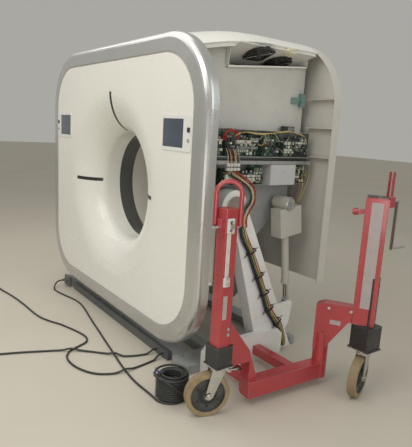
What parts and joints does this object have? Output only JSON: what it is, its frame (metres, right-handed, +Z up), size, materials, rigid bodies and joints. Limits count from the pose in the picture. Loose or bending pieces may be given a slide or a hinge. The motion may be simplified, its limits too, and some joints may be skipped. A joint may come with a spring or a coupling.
{
  "type": "ct scanner",
  "caption": "Tilting ring-shaped imaging gantry with its right side cover off, on a floor stand, with a red wheeled transport frame at one end.",
  "frame": {"origin": "on the floor under the isocentre of the bore", "axes": "+X to the right seen from the front, +Y from the front cover to the rear cover along the bore, +Z up"},
  "size_m": [3.2121, 2.2278, 2.157],
  "materials": {
    "white_shell": "satin moulded shell",
    "silver_paint": "metallic silver paint",
    "dark_window": "tinted film",
    "panel_grey": "fine moulded",
    "screen_glass": "dark display",
    "frame_grey": "satin",
    "bare_steel": "machined",
    "bay_grey": "matt",
    "white_metal": "satin",
    "rack_steel": "zinc plated",
    "circuit_dark": "circuit boards",
    "terminal_white": "moulded",
    "box_grey": "matt",
    "latch_green": "worn",
    "bare_aluminium": "cast",
    "detector_dark": "matt",
    "black_plastic": "moulded",
    "key_dark": "moulded",
    "key_grey": "moulded",
    "actuator_paint": "satin",
    "plinth_dark": "matt",
    "pillar_paint": "satin",
    "inlet_grey": "moulded",
    "harness": "bundled wires",
    "red_paint": "gloss enamel",
    "zinc": "zinc plated",
    "black_paint": "satin",
    "wheel_tan": "polyurethane tyre",
    "lead_black": "cable jacket"
  },
  "bodies": {
    "stand": {"base_frame": "frame_grey", "plinth": "plinth_dark", "pillar_right": "pillar_paint", "pillar_left": "pillar_paint", "tilt_pins": "bare_steel", "base_cover": "pillar_paint", "power_inlet": "inlet_grey", "pillar_harness": "harness", "dolly_beam": "red_paint", "front_column": "red_paint", "loop_handle": "red_paint", "lead_a": "lead_black", "floor_coil": "lead_black", "lead_b": "lead_black", "lead_c": "lead_black", "lead_coils": "lead_black", "lead_plugs": "inlet_grey"},
    "gantry": {"front_cover": "white_shell", "front_funnel": "white_shell", "silver_band": "silver_paint", "scan_window": "dark_window", "light_windows": "dark_window", "control_plates": "panel_grey", "screens": "screen_glass", "top_cover": "white_shell", "left_side_cover": "white_shell", "rear_cover": "white_shell", "tilt_frame": "frame_grey", "main_bearing": "bare_steel", "inner_panel": "bay_grey", "fan_box": "white_metal", "card_rack": "rack_steel", "card_modules": "circuit_dark", "terminal_blocks": "terminal_white", "drive_box": "box_grey", "panel_latch": "latch_green"},
    "rotor": {"rotor_drum": "bare_aluminium", "xray_tube": "bare_aluminium", "detector_arc": "detector_dark", "generator_box": "box_grey"},
    "fan_front_wheel": {"fan_front": "black_plastic"},
    "fan_rear_wheel": {"fan_rear": "black_plastic"},
    "key_right_body": {"key_right": "key_dark"},
    "button_right_body": {"button_right": "key_grey"},
    "key_left_body": {"key_left": "key_dark"},
    "button_left_body": {"button_left": "key_grey"},
    "actuator": {"actuator_housing": "actuator_paint"},
    "actuator_ram": {"actuator_rod": "bare_steel"},
    "front_crank_body": {"front_crank": "zinc"},
    "front_leg_body": {"front_leg": "black_paint"},
    "front_castor": {"front_fork": "zinc"},
    "front_wheel_body": {"front_wheel": "wheel_tan"},
    "front_brake_body": {"front_brake": "zinc"},
    "swing": {"swing_arm": "red_paint", "rear_column": "red_paint"},
    "rear_crank_body": {"rear_crank": "zinc"},
    "rear_leg_body": {"rear_leg": "black_paint"},
    "rear_castor": {"rear_fork": "zinc"},
    "rear_wheel_body": {"rear_wheel": "wheel_tan"},
    "rear_brake_body": {"rear_brake": "zinc"}
  },
  "joints": [
    {"name": "gantry_tilt", "type": "hinge", "parent": "stand", "child": "gantry", "pos_m": [0, 0, 1.067], "axis": [1, 0, 0], "range_deg": [-12, 12]},
    {"name": "rotor_spin", "type": "hinge", "parent": "gantry", "child": "rotor", "pos_m": [0, 0, 1.067], "axis": [0, 1, 0], "continuous": true},
    {"name": "fan_front_spin", "type": "hinge", "parent": "gantry", "child": "fan_front_wheel", "pos_m": [0.932, 0.215, 2.0265], "axis": [-0.2924, 0, 0.9563], "continuous": true},
    {"name": "fan_rear_spin", "type": "hinge", "parent": "gantry", "child": "fan_rear_wheel", "pos_m": [0.852, 0.452, 2.00204], "axis": [-0.2924, 0, 0.9563], "continuous": true},
    {"name": "key_right_press", "type": "slide", "parent": "gantry", "child": "key_right_body", "axis": [0, 1, 0], "range_m": [0, 0.002], "stiffness_N_per_m": 400, "springref_m": -0.003},
    {"name": "button_right_press", "type": "slide", "parent": "gantry", "child": "button_right_body", "axis": [0, 1, 0], "range_m": [0, 0.002], "stiffness_N_per_m": 400, "springref_m": -0.003},
    {"name": "key_left_press", "type": "slide", "parent": "gantry", "child": "key_left_body", "axis": [0, 1, 0], "range_m": [0, 0.002], "stiffness_N_per_m": 400, "springref_m": -0.003},
    {"name": "button_left_press", "type": "slide", "parent": "gantry", "child": "button_left_body", "axis": [0, 1, 0], "range_m": [0, 0.002], "stiffness_N_per_m": 400, "springref_m": -0.003},
    {"name": "actuator_swing", "type": "hinge", "parent": "gantry", "child": "actuator", "pos_m": [1.01, 0.485, 1.06], "axis": [1, 0, 0], "range_deg": [-14, 14]},
    {"name": "actuator_stroke", "type": "slide", "parent": "actuator", "child": "actuator_ram", "axis": [0, 0.1386, -0.9903], "range_m": [-0.105, 0.105]},
    {"name": "front_jack", "type": "slide", "parent": "stand", "child": "front_leg_body", "axis": [0, 0, -1], "range_m": [0, 0.15]},
    {"name": "front_crank_turn", "type": "hinge", "parent": "stand", "child": "front_crank_body", "pos_m": [1.475, -0.458, 1.049], "axis": [0, 1, 0], "range_deg": [0, 5400]},
    {"name": "front_swivel", "type": "hinge", "parent": "front_leg_body", "child": "front_castor", "pos_m": [1.475, -0.392, 0.262], "axis": [0, 0, 1], "continuous": true},
    {"name": "front_wheel_spin", "type": "hinge", "parent": "front_castor", "child": "front_wheel_body", "pos_m": [1.45756, -0.44416, 0.125], "axis": [0.9484, -0.3171, 0], "continuous": true},
    {"name": "front_brake_press", "type": "hinge", "parent": "front_castor", "child": "front_brake_body", "pos_m": [1.49276, -0.33889, 0.262], "axis": [0.9484, -0.3171, 0], "range_deg": [-12, 0]},
    {"name": "arm_swing", "type": "hinge", "parent": "stand", "child": "swing", "pos_m": [1.536, 0.372, 0.25], "axis": [0, 0, 1], "range_deg": [-45, 45]},
    {"name": "rear_jack", "type": "slide", "parent": "swing", "child": "rear_leg_body", "axis": [0, 0, -1], "range_m": [0, 0.15]},
    {"name": "rear_crank_turn", "type": "hinge", "parent": "swing", "child": "rear_crank_body", "pos_m": [1.752, 0.622, 1.18], "axis": [0, 1, 0], "range_deg": [0, 5400]},
    {"name": "rear_swivel", "type": "hinge", "parent": "rear_leg_body", "child": "rear_castor", "pos_m": [1.752, 0.508, 0.262], "axis": [0, 0, 1], "continuous": true},
    {"name": "rear_wheel_spin", "type": "hinge", "parent": "rear_castor", "child": "rear_wheel_body", "pos_m": [1.76929, 0.45579, 0.125], "axis": [0.9493, 0.3144, 0], "continuous": true},
    {"name": "rear_brake_press", "type": "hinge", "parent": "rear_castor", "child": "rear_brake_body", "pos_m": [1.73439, 0.56116, 0.262], "axis": [0.9493, 0.3144, 0], "range_deg": [-12, 0]}
  ],
  "couplings": [
    {"joint": "actuator_swing", "follows": "gantry_tilt", "ratio": -1.097},
    {"joint": "actuator_stroke", "follows": "gantry_tilt", "m_per_rad": 0.475},
    {"joint": "front_crank_turn", "follows": "front_jack", "rad_per_m": 628.32},
    {"joint": "rear_crank_turn", "follows": "rear_jack", "rad_per_m": 628.32}
  ]
}
